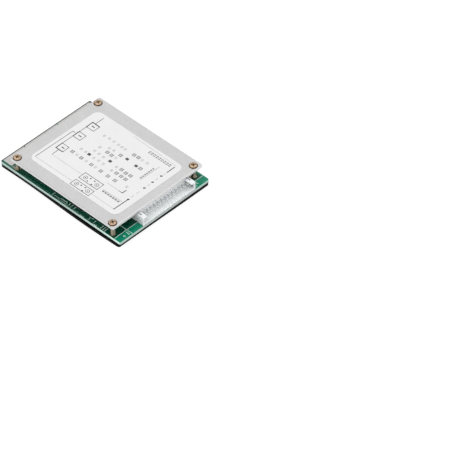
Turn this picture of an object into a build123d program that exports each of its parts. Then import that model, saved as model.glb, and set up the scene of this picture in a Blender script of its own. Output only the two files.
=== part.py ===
"""Battery management board: a green circuit board between an insulating sheet
and an aluminium heat-spreading cover, with a side-entry balance header.

Millimetres, +Z up, origin at the bottom centre of the whole part.
+X runs along the board towards the header, +Y across it.
"""

import os

from build123d import *

os.makedirs("parts", exist_ok=True)

# Board, insulating sheet and cover, stacked along Z
board_thickness = 1.6
board_corner = 0.7
board_front_reach = 0.15
sheet_thickness = 1.4
sheet_corner = 0.9
sheet_overhang = 0.2
sheet_end_setback = 0.35
plate_thickness = 1.2
plate_gap = 4.8
plate_corner = 0.9
plate_edge_break = 0.2
plate_shift_y = 0.8
plate_margin = 4.45
header_strip = 3.35

# Cover screws and the threaded inserts let into the board
screw_inset = 2.45
shank_radius = 0.97
screw_hole_radius = 1.1
head_radius = 1.9
head_height = 0.6
head_bevel = 0.3
head_bevel_height = 0.25
recess_arm = 2.2
recess_slot = 0.5
recess_depth = 0.4
insert_radius = 1.35
insert_bore_radius = 1.0
insert_seat_clearance = 0.01
shank_reach = 0.35
sheet_hole_radius = 1.2

# Sticker on the cover
label_length = 50.1
label_width = 39.5
label_shift_x = 0.7
label_thickness = 0.1
label_corner = 3.0

# Wire pads at the end away from the header
pad_length = 5.05
pad_thickness = 0.2
pad_corner = 0.4
pad_edge_break = 0.07
pad_end_inset = 0.5
pad_side_inset = 1.0
pad_gap = 0.3
pad_clearance = 0.5
narrow_pad_share = 0.235

# Side-entry header: housing, bent pins and their solder
pin_count = 14
pin_pitch = 2.0
pin_size = 0.5
pin_hole_clearance = 0.02
pin_height = 2.4
pin_outer_bend = 0.45
pin_tip_break = 0.15
pin_tail_gap = 0.7
pin_tip_setback = 1.9
pin_below_board = 1.0
pin_drill_radius = 0.45
drill_sides = 8
header_end = 1.95
header_depth = 7.6
header_height = 4.3
header_shift_y = 2.62
header_setback = 0.05
header_floor = 0.8
header_wall = 0.65
header_back_depth = 3.6
header_roof = 0.8
lip_reach = 1.55
lip_slot_width = 0.5
lip_slot_length = 1.9
lip_slot_setback = 1.9
header_edge_break = 0.2
foot_groove_width = 1.0
foot_groove_depth = 0.3
back_notch_width = 0.9
back_notch_depth = 1.0
solder_foot_radius = 0.85
solder_slope_height = 0.6
solder_slope_width = 0.4
solder_height = 0.8
solder_slot_margin = 0.5

# Power transistors, flat on the board with the cover pressed on their tops
mosfet_rows = 4
mosfet_row_gap = 0.7
mosfet_pair_gap = 1.0
mosfet_clearance = 0.7
mosfet_width = 10.0
mosfet_length = 8.9
mosfet_height = 4.4
mosfet_bevel = 0.5
mosfet_standoff = 0.1
mosfet_tab_out = 1.2
mosfet_tab_in_share = 0.74
mosfet_tab_thickness = 1.27
mosfet_tab_neck_share = 0.82
mosfet_tab_corner = 0.6
mosfet_lead_width = 0.8
mosfet_lead_thickness = 0.5
mosfet_lead_pitch_share = 0.508
mosfet_lead_reach = 4.9
mosfet_lead_foot = 2.2
mosfet_lead_height = 2.4
mosfet_lead_knee = 1.5
mosfet_stub = 1.3
thermal_pad_margin = 0.5

# Current shunts
shunt_count = 4
shunt_row_gap = 0.7
shunt_length = 6.35
shunt_width = 3.2
shunt_height = 0.8
shunt_end = 1.2
shunt_element_thickness = 0.45
sense_gap_x = 0.6
sense_gap_y = 1.6

# Controller chip
controller_length = 7.2
controller_width = 5.3
controller_height = 1.9
controller_standoff = 0.1
controller_bevel = 0.25
controller_lead_count = 10
controller_pitch = 0.65
controller_lead_width = 0.3
controller_lead_thickness = 0.2
controller_reach = 1.25
controller_lead_height = 0.95
index_mark_radius = 0.4
index_mark_depth = 0.08
index_mark_inset = 1.0

# Gate driver chips
driver_count = 2
driver_row_gap = 1.3
driver_length = 4.9
driver_width = 3.9
driver_height = 1.6
driver_standoff = 0.1
driver_bevel = 0.25
driver_lead_count = 4
driver_pitch = 1.27
driver_lead_width = 0.42
driver_lead_thickness = 0.2
driver_reach = 1.05
driver_lead_height = 0.8

# Surge diodes
diode_count = 2
diode_row_gap = 0.5
diode_length = 4.4
diode_width = 3.5
diode_height = 2.2
diode_bevel = 0.3
diode_standoff = 0.1
diode_lead_width = 2.0
diode_lead_thickness = 0.2
diode_lead_height = 1.1
diode_lead_under = 1.0
diode_lead_out = 0.3

# Cell rows: a capacitor, a monitor chip, a balance transistor and its resistor
cell_count = 13
cell_row_gap = 0.5
cell_gap_x = 0.6
capacitor_length = 1.6
capacitor_width = 0.8
capacitor_height = 0.8
capacitor_end = 0.35
monitor_length = 2.9
monitor_width = 1.6
monitor_height = 1.1
monitor_standoff = 0.1
monitor_bevel = 0.12
monitor_pitch = 0.95
monitor_lead_count = 3
small_lead_width = 0.4
small_lead_thickness = 0.15
small_lead_reach = 0.6
small_lead_height = 0.6
switch_length = 2.9
switch_width = 1.3
switch_height = 1.0
switch_lead_pitch_share = 0.655
resistor_length = 3.2
resistor_width = 1.6
resistor_height = 0.6
resistor_end = 0.5
tail_clearance = 2.15

# The board is as long as the columns that stand on it, side by side
header_length = (pin_count - 1) * pin_pitch + 2 * header_end
mosfet_span = mosfet_lead_reach + mosfet_length + mosfet_tab_out
sense_span = controller_width + 2 * controller_reach
monitor_span = monitor_width + 2 * small_lead_reach
switch_span = switch_width + 2 * small_lead_reach
pad_strip = pad_end_inset + pad_length + pad_clearance
mosfet_bay = mosfet_clearance + 2 * mosfet_span + mosfet_pair_gap
cell_bay = capacitor_length + monitor_span + switch_span + resistor_length + 3 * cell_gap_x
header_bay = tail_clearance + pin_size / 2 + pin_tail_gap + header_depth + header_setback
board_length = pad_strip + mosfet_bay + 2 * sense_gap_x + sense_span + cell_bay + header_bay
board_end_x = board_length / 2

# It is as wide as the rows of power transistors and a margin on either side
mosfet_pitch = mosfet_width + mosfet_row_gap
mosfet_run = mosfet_rows * mosfet_pitch - mosfet_row_gap
plate_width = mosfet_run + 2 * plate_margin
board_width = plate_width + board_front_reach
board_y = (plate_shift_y - board_front_reach) / 2
plate_y = -plate_shift_y / 2

# Columns from the wire pads to the header
plate_length = board_length - pad_strip - header_strip
plate_shift_x = (pad_strip - header_strip) / 2
mosfet_x = -board_end_x + pad_strip + mosfet_clearance + mosfet_span + mosfet_pair_gap / 2
sense_x = -board_end_x + pad_strip + mosfet_bay + sense_gap_x + sense_span / 2
capacitor_x = sense_x + sense_span / 2 + sense_gap_x + capacitor_length / 2
monitor_x = capacitor_x + capacitor_length / 2 + cell_gap_x + monitor_span / 2
switch_x = monitor_x + monitor_span / 2 + cell_gap_x + switch_span / 2
resistor_x = switch_x + switch_span / 2 + cell_gap_x + resistor_length / 2
header_front_x = board_end_x - header_setback
header_back_x = header_front_x - header_depth
header_cavity_x = header_back_x + header_back_depth
header_y = board_y + header_shift_y
tail_x = header_back_x - pin_tail_gap

# Heights
board_bottom = sheet_thickness
board_top = board_bottom + board_thickness
plate_bottom = board_top + plate_gap
plate_top = plate_bottom + plate_thickness

# The sense column, stacked across the board
shunt_pitch = shunt_width + shunt_row_gap
driver_pitch_y = driver_length + driver_row_gap
diode_pitch_y = diode_width + diode_row_gap
shunt_run = shunt_count * shunt_pitch - shunt_row_gap
driver_run = driver_count * driver_pitch_y - driver_row_gap
diode_run = diode_count * diode_pitch_y - diode_row_gap
sense_run = shunt_run + controller_length + driver_run + diode_run + 3 * sense_gap_y
shunt_y = plate_y - sense_run / 2 + shunt_run / 2
controller_y = shunt_y + shunt_run / 2 + sense_gap_y + controller_length / 2
driver_y = controller_y + controller_length / 2 + sense_gap_y + driver_run / 2
diode_y = driver_y + driver_run / 2 + sense_gap_y + diode_run / 2
cell_pitch = monitor_length + cell_row_gap


def gull_points(reach, height, thickness, foot, knee):
    """Side outline of a bent lead: shoulder, sloping shin and flat foot."""
    heel = reach - foot
    return [
        (0, height + thickness / 2),
        (knee + thickness, height + thickness / 2),
        (heel + thickness, thickness),
        (reach, thickness),
        (reach, 0),
        (heel, 0),
        (knee, height - thickness / 2),
        (0, height - thickness / 2),
    ]


def strap_points(reach, height, thickness):
    """Side outline of a small lead: a sloping shin that ends in a foot."""
    return [
        (0, height + thickness / 2),
        (reach / 2 + thickness, thickness),
        (reach, thickness),
        (reach, 0),
        (reach / 2, 0),
        (0, height - thickness / 2),
    ]


def spread(count, pitch):
    """Places of a centred row."""
    return [(index - (count - 1) / 2) * pitch for index in range(count)]


def two_sided(x, y, half_width, count, pitch):
    """Lead places down both long sides of a chip."""
    places = []
    for offset in spread(count, pitch):
        places.append(Location((x + half_width, y + offset, board_top)))
        places.append(Location((x - half_width, y + offset, board_top), (0, 0, 180)))
    return places


screw_reach_x = plate_length / 2 - screw_inset
screw_reach_y = plate_width / 2 - screw_inset
screw_places = [
    (plate_shift_x + side_x * screw_reach_x, plate_y + side_y * screw_reach_y)
    for side_x in (-1, 1)
    for side_y in (-1, 1)
]
pin_places_y = [header_y + offset for offset in spread(pin_count, pin_pitch)]
cell_places_y = [plate_y + offset for offset in spread(cell_count, cell_pitch)]

# Insulating sheet with holes for the screw ends and a slot for the header's solder
sheet_length = board_length - sheet_end_setback
sheet_width = board_width + sheet_overhang
with BuildPart() as insulating_sheet:
    with BuildSketch(Plane.XY):
        with Locations((-sheet_end_setback / 2, board_y - sheet_overhang / 2)):
            RectangleRounded(sheet_length, sheet_width, sheet_corner)
        with Locations(*screw_places):
            Circle(sheet_hole_radius, mode=Mode.SUBTRACT)
        with Locations((tail_x, header_y)):
            slot_width = 2 * (solder_foot_radius + solder_slot_margin)
            SlotCenterToCenter(
                (pin_count - 1) * pin_pitch, slot_width, rotation=90, mode=Mode.SUBTRACT
            )
    extrude(amount=sheet_thickness)
insulating_sheet.part.label = "insulating_sheet"
export_step(insulating_sheet.part, "parts/insulating_sheet.step")

# Circuit board drilled for the inserts and the header's tails
with BuildPart() as circuit_board:
    with BuildSketch(Plane.XY.offset(board_bottom)):
        with Locations((0, board_y)):
            RectangleRounded(board_length, board_width, board_corner)
        with Locations(*screw_places):
            Circle(insert_radius + insert_seat_clearance, mode=Mode.SUBTRACT)
        with Locations(*[(tail_x, y) for y in pin_places_y]):
            RegularPolygon(pin_drill_radius, drill_sides, major_radius=False, mode=Mode.SUBTRACT)
    extrude(amount=board_thickness)
circuit_board.part.label = "circuit_board"
export_step(circuit_board.part, "parts/circuit_board.step")

# Tinned pads: two wide ones for the main current and a narrow one
pad_x = -board_end_x + pad_end_inset + pad_length / 2
pad_run = board_width - 2 * pad_side_inset
narrow_pad_width = narrow_pad_share * pad_run
wide_pad_width = (pad_run - narrow_pad_width) / 2 - pad_gap
with BuildPart() as terminal_pads:
    with BuildSketch(Plane.XY.offset(board_top)):
        with Locations((pad_x, board_y - pad_run / 2 + narrow_pad_width / 2)):
            RectangleRounded(pad_length, narrow_pad_width, pad_corner)
        with Locations((pad_x, board_y - pad_run / 2 + narrow_pad_width + pad_gap + wide_pad_width / 2)):
            RectangleRounded(pad_length, wide_pad_width, pad_corner)
        with Locations((pad_x, board_y + pad_run / 2 - wide_pad_width / 2)):
            RectangleRounded(pad_length, wide_pad_width, pad_corner)
    extrude(amount=pad_thickness)
    chamfer(terminal_pads.faces().filter_by(Axis.Z).sort_by(Axis.Z)[-3:].edges(), length=pad_edge_break)
terminal_pads.part.label = "terminal_pads"
export_step(terminal_pads.part, "parts/terminal_pads.step")

# Cover plate with broken edges and four screw holes
with BuildPart() as cover_plate:
    with BuildSketch(Plane.XY.offset(plate_bottom)):
        with Locations((plate_shift_x, plate_y)):
            RectangleRounded(plate_length, plate_width, plate_corner)
    extrude(amount=plate_thickness)
    chamfer(cover_plate.faces().sort_by(Axis.Z)[-1].edges(), length=plate_edge_break)
    with BuildSketch(Plane.XY.offset(plate_bottom)):
        with Locations(*screw_places):
            Circle(screw_hole_radius)
    extrude(amount=plate_thickness, mode=Mode.SUBTRACT)
cover_plate.part.label = "cover_plate"
export_step(cover_plate.part, "parts/cover_plate.step")

# Round-cornered sticker
with BuildPart() as label:
    with BuildSketch(Plane.XY.offset(plate_top)):
        with Locations((plate_shift_x + label_shift_x, plate_y)):
            RectangleRounded(label_length, label_width, label_corner)
    extrude(amount=label_thickness)
label.part.label = "label"
export_step(label.part, "parts/label.step")

# One pan-head screw with a cross recess, then all four
shank_length = plate_top - board_bottom + shank_reach
with BuildPart() as one_screw:
    with BuildSketch(Plane.XY):
        Circle(head_radius)
    extrude(amount=head_height)
    chamfer(
        one_screw.faces().sort_by(Axis.Z)[-1].edges(),
        length=head_bevel_height,
        length2=head_bevel,
        reference=one_screw.faces().sort_by(Axis.Z)[-1],
    )
    with BuildSketch(Plane.XY.offset(head_height)):
        Rectangle(recess_arm, recess_slot)
        Rectangle(recess_slot, recess_arm)
    extrude(amount=-recess_depth, mode=Mode.SUBTRACT)
    with BuildSketch(Plane.XY):
        Circle(shank_radius)
    extrude(amount=-shank_length)
with BuildPart() as cover_screws:
    with Locations(*[(x, y, plate_top) for x, y in screw_places]):
        add(one_screw.part)
cover_screws.part.label = "cover_screws"
export_step(cover_screws.part, "parts/cover_screws.step")

# Threaded inserts pressed into the board, as tall as the board is thick
with BuildPart() as one_insert:
    with BuildSketch(Plane.XY):
        Circle(insert_radius)
        Circle(insert_bore_radius, mode=Mode.SUBTRACT)
    extrude(amount=board_thickness)
with BuildPart() as board_inserts:
    with Locations(*[(x, y, board_bottom) for x, y in screw_places]):
        add(one_insert.part)
board_inserts.part.label = "board_inserts"
export_step(board_inserts.part, "parts/board_inserts.step")

# Header housing: a tray open at the front and on top, with a thick back wall
# for the pins and a slotted lip over each end that guides the plug
cavity_length = header_length - 2 * header_wall
cavity_depth = header_depth - header_back_depth
header_center_x = header_front_x - header_depth / 2
lip_slot_x = header_front_x - lip_slot_setback
with BuildPart() as header_housing:
    with Locations((header_center_x, header_y, board_top)):
        Box(header_depth, header_length, header_height, align=(Align.CENTER, Align.CENTER, Align.MIN))
    chamfer(header_housing.edges().filter_by(Axis.X).group_by(Axis.Z)[-1], length=header_edge_break)
    with Locations((header_cavity_x, header_y, board_top + header_floor)):
        Box(
            cavity_depth,
            cavity_length,
            header_height,
            align=(Align.MIN, Align.CENTER, Align.MIN),
            mode=Mode.SUBTRACT,
        )
    for side in (-1, 1):
        lip_y = header_y + side * (cavity_length / 2 - lip_reach / 2)
        with Locations((header_cavity_x, lip_y, board_top + header_height)):
            Box(cavity_depth, lip_reach, header_roof, align=(Align.MIN, Align.CENTER, Align.MAX))
        slot_y = header_y + side * (cavity_length / 2 - lip_slot_width / 2)
        with Locations((lip_slot_x, slot_y, board_top + header_height)):
            Box(
                lip_slot_length,
                lip_slot_width,
                header_roof,
                align=(Align.MAX, Align.CENTER, Align.MAX),
                mode=Mode.SUBTRACT,
            )
    # Square passages for the pins
    with BuildSketch(Plane.YZ.offset(header_back_x)):
        with Locations(*[(y, board_top + pin_height) for y in pin_places_y]):
            Rectangle(pin_size + 2 * pin_hole_clearance, pin_size + 2 * pin_hole_clearance)
    extrude(amount=header_back_depth, mode=Mode.SUBTRACT)
    # Notches between the pins along the top of the back wall
    with BuildSketch(Plane.XY.offset(board_top + header_height)):
        with Locations(*[(header_back_x, header_y + y) for y in spread(pin_count - 1, pin_pitch)]):
            Rectangle(2 * back_notch_depth, back_notch_width)
    extrude(amount=-back_notch_depth, mode=Mode.SUBTRACT)
    # Grooves under the floor that let flux out
    with BuildSketch(Plane.XZ.offset(-header_y - header_length / 2)):
        with Locations((header_center_x, board_top)):
            Rectangle(foot_groove_width, 2 * foot_groove_depth)
    extrude(amount=header_length, mode=Mode.SUBTRACT)
header_housing.part.label = "header_housing"
export_step(header_housing.part, "parts/header_housing.step")

# Square pins bent down behind the housing and through the board
tip_x = header_front_x - pin_tip_setback
pin_low = -board_thickness - pin_below_board
with BuildPart() as one_pin:
    with BuildSketch(Plane.XZ):
        with BuildLine():
            Polyline(
                (tail_x - pin_size / 2, pin_low),
                (tail_x - pin_size / 2, pin_height + pin_size / 2),
                (tip_x, pin_height + pin_size / 2),
                (tip_x, pin_height - pin_size / 2),
                (tail_x + pin_size / 2, pin_height - pin_size / 2),
                (tail_x + pin_size / 2, pin_low),
                close=True,
            )
        make_face()
    extrude(amount=pin_size / 2, both=True)
    bend_edges = one_pin.edges().filter_by(Axis.Y)
    fillet(bend_edges.group_by(Axis.X)[0].sort_by(Axis.Z)[-1], radius=pin_outer_bend)
    chamfer(one_pin.faces().sort_by(Axis.X)[-1].edges(), length=pin_tip_break)
with BuildPart() as header_pins:
    with Locations(*[(0, y, board_top) for y in pin_places_y]):
        add(one_pin.part)
header_pins.part.label = "header_pins"
export_step(header_pins.part, "parts/header_pins.step")

# Solder cones round the tails under the board
with BuildPart() as one_joint:
    with BuildSketch(Plane.XY):
        RegularPolygon(solder_foot_radius, drill_sides, major_radius=False)
    extrude(amount=-solder_height)
    chamfer(
        one_joint.faces().sort_by(Axis.Z)[0].edges(),
        length=solder_slope_height,
        length2=solder_slope_width,
    )
    with BuildSketch(Plane.XY):
        Rectangle(pin_size, pin_size)
    extrude(amount=-solder_height, mode=Mode.SUBTRACT)
with BuildPart() as header_solder:
    with Locations(*[(tail_x, y, board_bottom) for y in pin_places_y]):
        add(one_joint.part)
header_solder.part.label = "header_solder"
export_step(header_solder.part, "parts/header_solder.step")

# Power transistor body with its tab let into the underside
mosfet_tab_in = mosfet_tab_in_share * mosfet_length
mosfet_tab_neck = mosfet_tab_neck_share * mosfet_width
mosfet_lead_pitch = mosfet_lead_pitch_share * mosfet_width
mosfet_column = mosfet_pair_gap / 2 + mosfet_tab_out + mosfet_length / 2
mosfet_places = []
for mosfet_offset in spread(mosfet_rows, mosfet_pitch):
    row_y = plate_y + mosfet_offset
    mosfet_places.append(Location((mosfet_x - mosfet_column, row_y, board_top)))
    mosfet_places.append(Location((mosfet_x + mosfet_column, row_y, board_top), (0, 0, 180)))
with BuildPart() as one_mosfet_body:
    with Locations((0, 0, mosfet_standoff)):
        Box(
            mosfet_length,
            mosfet_width,
            mosfet_height - mosfet_standoff,
            align=(Align.CENTER, Align.CENTER, Align.MIN),
        )
    chamfer(one_mosfet_body.faces().sort_by(Axis.Z)[-1].edges(), length=mosfet_bevel)
    with Locations((mosfet_length / 2, 0, 0)):
        Box(
            mosfet_tab_in,
            mosfet_tab_neck,
            mosfet_tab_thickness,
            align=(Align.MAX, Align.CENTER, Align.MIN),
            mode=Mode.SUBTRACT,
        )
with BuildPart() as mosfet_bodies:
    with Locations(*mosfet_places):
        add(one_mosfet_body.part)
mosfet_bodies.part.label = "mosfet_bodies"
export_step(mosfet_bodies.part, "parts/mosfet_bodies.step")

# Heat tabs
with BuildPart() as one_mosfet_tab:
    with BuildSketch(Plane.XY):
        with Locations((mosfet_length / 2, 0)):
            Rectangle(mosfet_tab_in, mosfet_tab_neck, align=(Align.MAX, Align.CENTER))
            Rectangle(mosfet_tab_out, mosfet_width, align=(Align.MIN, Align.CENTER))
    extrude(amount=mosfet_tab_thickness)
    chamfer(one_mosfet_tab.edges().filter_by(Axis.Z).group_by(Axis.X)[-1], length=mosfet_tab_corner)
with BuildPart() as mosfet_tabs:
    with Locations(*mosfet_places):
        add(one_mosfet_tab.part)
mosfet_tabs.part.label = "mosfet_tabs"
export_step(mosfet_tabs.part, "parts/mosfet_tabs.step")

# Two bent leads and a cropped middle one on each power transistor
with BuildPart() as one_lead_set:
    with BuildSketch(Plane.XZ):
        with BuildLine():
            Polyline(
                *[
                    (-mosfet_length / 2 - r, z)
                    for r, z in gull_points(
                        mosfet_lead_reach,
                        mosfet_lead_height,
                        mosfet_lead_thickness,
                        mosfet_lead_foot,
                        mosfet_lead_knee,
                    )
                ],
                close=True,
            )
        make_face()
    extrude(amount=mosfet_lead_width / 2, both=True)
with BuildPart() as one_stub:
    with Locations((-mosfet_length / 2, 0, mosfet_lead_height)):
        Box(
            mosfet_stub,
            mosfet_lead_width,
            mosfet_lead_thickness,
            align=(Align.MAX, Align.CENTER, Align.CENTER),
        )
with BuildPart() as mosfet_leads:
    for place in mosfet_places:
        with Locations(place):
            add(one_stub.part)
        with Locations(*[place * Location((0, side * mosfet_lead_pitch / 2, 0)) for side in (-1, 1)]):
            add(one_lead_set.part)
mosfet_leads.part.label = "mosfet_leads"
export_step(mosfet_leads.part, "parts/mosfet_leads.step")

# Soft strips that carry heat from the power transistors into the cover
with BuildPart() as thermal_pads:
    with BuildSketch(Plane.XY.offset(board_top + mosfet_height)):
        with Locations((mosfet_x - mosfet_column, plate_y), (mosfet_x + mosfet_column, plate_y)):
            Rectangle(mosfet_length + thermal_pad_margin, mosfet_run + thermal_pad_margin)
    extrude(amount=plate_gap - mosfet_height)
thermal_pads.part.label = "thermal_pads"
export_step(thermal_pads.part, "parts/thermal_pads.step")

# Current shunts: a resistance strip bridging two copper ends
shunt_places = [(sense_x, shunt_y + offset, board_top) for offset in spread(shunt_count, shunt_pitch)]
element_length = shunt_length - 2 * shunt_end
with BuildPart() as shunt_elements:
    with Locations(*[(x, y, z + shunt_height) for x, y, z in shunt_places]):
        Box(
            element_length,
            shunt_width,
            shunt_element_thickness,
            align=(Align.CENTER, Align.CENTER, Align.MAX),
        )
shunt_elements.part.label = "shunt_elements"
export_step(shunt_elements.part, "parts/shunt_elements.step")

with BuildPart() as shunt_ends:
    for end_side in (-1, 1):
        end_shift = end_side * (element_length + shunt_end) / 2
        with Locations(*[(x + end_shift, y, z) for x, y, z in shunt_places]):
            Box(shunt_end, shunt_width, shunt_height, align=(Align.CENTER, Align.CENTER, Align.MIN))
shunt_ends.part.label = "shunt_ends"
export_step(shunt_ends.part, "parts/shunt_ends.step")

# Controller chip, bevelled on top with a round index mark
with BuildPart() as controller_body:
    with Locations((sense_x, controller_y, board_top + controller_standoff)):
        Box(
            controller_width,
            controller_length,
            controller_height - controller_standoff,
            align=(Align.CENTER, Align.CENTER, Align.MIN),
        )
    chamfer(controller_body.faces().sort_by(Axis.Z)[-1].edges(), length=controller_bevel)
    with BuildSketch(Plane.XY.offset(board_top + controller_height)):
        mark_x = sense_x - controller_width / 2 + index_mark_inset
        mark_y = controller_y - controller_length / 2 + index_mark_inset
        with Locations((mark_x, mark_y)):
            Circle(index_mark_radius)
    extrude(amount=-index_mark_depth, mode=Mode.SUBTRACT)
controller_body.part.label = "controller_body"
export_step(controller_body.part, "parts/controller_body.step")

with BuildPart() as one_controller_lead:
    with BuildSketch(Plane.XZ):
        with BuildLine():
            Polyline(
                *strap_points(controller_reach, controller_lead_height, controller_lead_thickness),
                close=True,
            )
        make_face()
    extrude(amount=controller_lead_width / 2, both=True)
controller_lead_places = two_sided(
    sense_x, controller_y, controller_width / 2, controller_lead_count, controller_pitch
)
with BuildPart() as controller_leads:
    with Locations(*controller_lead_places):
        add(one_controller_lead.part)
controller_leads.part.label = "controller_leads"
export_step(controller_leads.part, "parts/controller_leads.step")

# Gate driver chips
driver_places = [(sense_x, driver_y + offset) for offset in spread(driver_count, driver_pitch_y)]
with BuildPart() as one_driver_body:
    with Locations((0, 0, driver_standoff)):
        Box(
            driver_width,
            driver_length,
            driver_height - driver_standoff,
            align=(Align.CENTER, Align.CENTER, Align.MIN),
        )
    chamfer(one_driver_body.faces().sort_by(Axis.Z)[-1].edges(), length=driver_bevel)
with BuildPart() as driver_bodies:
    with Locations(*[(x, y, board_top) for x, y in driver_places]):
        add(one_driver_body.part)
driver_bodies.part.label = "driver_bodies"
export_step(driver_bodies.part, "parts/driver_bodies.step")

with BuildPart() as one_driver_lead:
    with BuildSketch(Plane.XZ):
        with BuildLine():
            Polyline(
                *strap_points(driver_reach, driver_lead_height, driver_lead_thickness),
                close=True,
            )
        make_face()
    extrude(amount=driver_lead_width / 2, both=True)
driver_lead_places = []
for x, y in driver_places:
    driver_lead_places += two_sided(x, y, driver_width / 2, driver_lead_count, driver_pitch)
with BuildPart() as driver_leads:
    with Locations(*driver_lead_places):
        add(one_driver_lead.part)
driver_leads.part.label = "driver_leads"
export_step(driver_leads.part, "parts/driver_leads.step")

# Surge diodes with straps folded under their ends
diode_places = [(sense_x, diode_y + offset, board_top) for offset in spread(diode_count, diode_pitch_y)]
with BuildPart() as one_diode_body:
    with Locations((0, 0, diode_lead_thickness + diode_standoff)):
        Box(
            diode_length,
            diode_width,
            diode_height - diode_lead_thickness - diode_standoff,
            align=(Align.CENTER, Align.CENTER, Align.MIN),
        )
    chamfer(one_diode_body.faces().sort_by(Axis.Z)[-1].edges(), length=diode_bevel)
with BuildPart() as diode_bodies:
    with Locations(*diode_places):
        add(one_diode_body.part)
diode_bodies.part.label = "diode_bodies"
export_step(diode_bodies.part, "parts/diode_bodies.step")

diode_top = diode_lead_height + diode_lead_thickness / 2
diode_under = diode_lead_height - diode_lead_thickness / 2
diode_side = diode_length / 2
with BuildPart() as one_diode_strap:
    with BuildSketch(Plane.XZ):
        with BuildLine():
            Polyline(
                (diode_side, diode_top),
                (diode_side + diode_lead_out, diode_top),
                (diode_side + diode_lead_out, 0),
                (diode_side - diode_lead_under, 0),
                (diode_side - diode_lead_under, diode_lead_thickness),
                (diode_side + diode_lead_out - diode_lead_thickness, diode_lead_thickness),
                (diode_side + diode_lead_out - diode_lead_thickness, diode_under),
                (diode_side, diode_under),
                close=True,
            )
        make_face()
    extrude(amount=diode_lead_width / 2, both=True)
with BuildPart() as diode_straps:
    with Locations(
        *[Location(place, (0, 0, turn)) for place in diode_places for turn in (0, 180)]
    ):
        add(one_diode_strap.part)
diode_straps.part.label = "diode_straps"
export_step(diode_straps.part, "parts/diode_straps.step")

# Filter capacitors, one to a cell
with BuildPart() as capacitor_bodies:
    with Locations(*[(capacitor_x, y, board_top) for y in cell_places_y]):
        Box(
            capacitor_length - 2 * capacitor_end,
            capacitor_width,
            capacitor_height,
            align=(Align.CENTER, Align.CENTER, Align.MIN),
        )
capacitor_bodies.part.label = "capacitor_bodies"
export_step(capacitor_bodies.part, "parts/capacitor_bodies.step")

capacitor_shift = (capacitor_length - capacitor_end) / 2
with BuildPart() as capacitor_caps:
    for cap_side in (-1, 1):
        with Locations(*[(capacitor_x + cap_side * capacitor_shift, y, board_top) for y in cell_places_y]):
            Box(
                capacitor_end,
                capacitor_width,
                capacitor_height,
                align=(Align.CENTER, Align.CENTER, Align.MIN),
            )
capacitor_caps.part.label = "capacitor_caps"
export_step(capacitor_caps.part, "parts/capacitor_caps.step")

# Cell monitor chips, one to a cell
with BuildPart() as one_monitor_body:
    with Locations((0, 0, monitor_standoff)):
        Box(
            monitor_width,
            monitor_length,
            monitor_height - monitor_standoff,
            align=(Align.CENTER, Align.CENTER, Align.MIN),
        )
    chamfer(one_monitor_body.faces().sort_by(Axis.Z)[-1].edges(), length=monitor_bevel)
with BuildPart() as monitor_bodies:
    with Locations(*[(monitor_x, y, board_top) for y in cell_places_y]):
        add(one_monitor_body.part)
monitor_bodies.part.label = "monitor_bodies"
export_step(monitor_bodies.part, "parts/monitor_bodies.step")

with BuildPart() as one_small_lead:
    with BuildSketch(Plane.XZ):
        with BuildLine():
            Polyline(
                *strap_points(small_lead_reach, small_lead_height, small_lead_thickness),
                close=True,
            )
        make_face()
    extrude(amount=small_lead_width / 2, both=True)
monitor_lead_places = []
for y in cell_places_y:
    monitor_lead_places += two_sided(monitor_x, y, monitor_width / 2, monitor_lead_count, monitor_pitch)
with BuildPart() as monitor_leads:
    with Locations(*monitor_lead_places):
        add(one_small_lead.part)
monitor_leads.part.label = "monitor_leads"
export_step(monitor_leads.part, "parts/monitor_leads.step")

# Balance transistors: two leads on one side and one on the other
with BuildPart() as one_switch_body:
    with Locations((0, 0, monitor_standoff)):
        Box(
            switch_width,
            switch_length,
            switch_height - monitor_standoff,
            align=(Align.CENTER, Align.CENTER, Align.MIN),
        )
    chamfer(one_switch_body.faces().sort_by(Axis.Z)[-1].edges(), length=monitor_bevel)
with BuildPart() as balance_bodies:
    with Locations(*[(switch_x, y, board_top) for y in cell_places_y]):
        add(one_switch_body.part)
balance_bodies.part.label = "balance_bodies"
export_step(balance_bodies.part, "parts/balance_bodies.step")

balance_lead_places = []
for y in cell_places_y:
    balance_lead_places.append(Location((switch_x + switch_width / 2, y, board_top)))
    for side in (-1, 1):
        lead_y = y + side * switch_lead_pitch_share * switch_length / 2
        balance_lead_places.append(Location((switch_x - switch_width / 2, lead_y, board_top), (0, 0, 180)))
with BuildPart() as balance_leads:
    with Locations(*balance_lead_places):
        add(one_small_lead.part)
balance_leads.part.label = "balance_leads"
export_step(balance_leads.part, "parts/balance_leads.step")

# Balance resistors, one to a cell
with BuildPart() as resistor_bodies:
    with Locations(*[(resistor_x, y, board_top) for y in cell_places_y]):
        Box(
            resistor_length - 2 * resistor_end,
            resistor_width,
            resistor_height,
            align=(Align.CENTER, Align.CENTER, Align.MIN),
        )
resistor_bodies.part.label = "resistor_bodies"
export_step(resistor_bodies.part, "parts/resistor_bodies.step")

resistor_shift = (resistor_length - resistor_end) / 2
with BuildPart() as resistor_caps:
    for cap_side in (-1, 1):
        with Locations(*[(resistor_x + cap_side * resistor_shift, y, board_top) for y in cell_places_y]):
            Box(
                resistor_end,
                resistor_width,
                resistor_height,
                align=(Align.CENTER, Align.CENTER, Align.MIN),
            )
resistor_caps.part.label = "resistor_caps"
export_step(resistor_caps.part, "parts/resistor_caps.step")
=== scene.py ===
"""Looks for a battery management board, built round its CAD frame.

The board lies flat: black insulating sheet, green circuit board, aluminium
cover on four screws, a sticker on the cover and a white side-entry header.
Metres, +Z up, +X towards the header.
"""

import math

import bmesh
import bpy
from mathutils import Matrix, Vector


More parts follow.
